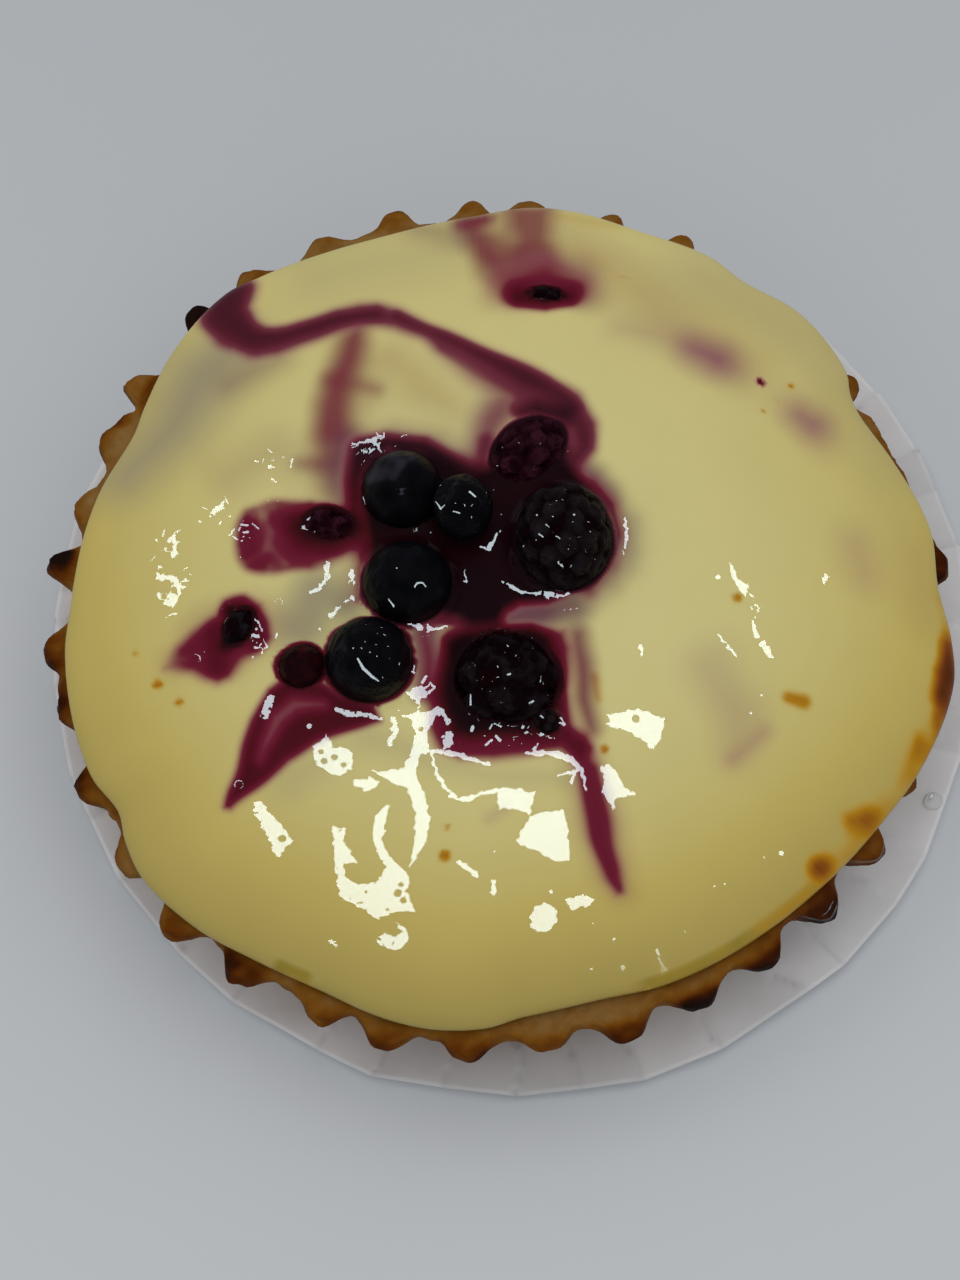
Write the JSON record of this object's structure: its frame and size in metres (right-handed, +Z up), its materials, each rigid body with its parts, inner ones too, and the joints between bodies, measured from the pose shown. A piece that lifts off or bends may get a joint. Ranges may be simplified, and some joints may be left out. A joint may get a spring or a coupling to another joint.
{
  "type": "berry yogurt tartlet",
  "caption": "Round fluted shortcrust tartlet with a domed yogurt custard filling and sunken dark berries, standing in a flattened paper case.",
  "frame": {"origin": "on the table under the centre of the crust, on the flat underside of the paper case", "axes": "+Z up, +Y away from the viewer, +X to the viewer's right"},
  "size_m": [0.1288, 0.1293, 0.0373],
  "materials": {
    "paper": "thin white baking paper with soft creases",
    "crust": "baked shortcrust, golden brown with dark burnt tips",
    "filling": "pale cream baked custard under a clear wet glaze, stained by berry juice",
    "blueberry": "blue black skin under a clear wet glaze",
    "bramble": "dark red black drupelets under a clear wet glaze",
    "drupe": "dark red smooth skin under a clear wet glaze"
  },
  "bodies": {
    "root": {"paper_case": "paper", "crust": "crust", "filling": "filling", "blueberry_1": "blueberry", "blueberry_2": "blueberry", "blueberry_3": "blueberry", "blueberry_4": "blueberry", "bramble_1": "bramble", "bramble_2": "bramble", "bramble_3": "bramble", "small_berry": "bramble", "red_drupe": "drupe", "berry_piece_1": "bramble", "berry_piece_2": "bramble", "berry_piece_3": "bramble"}
  },
  "joints": []
}
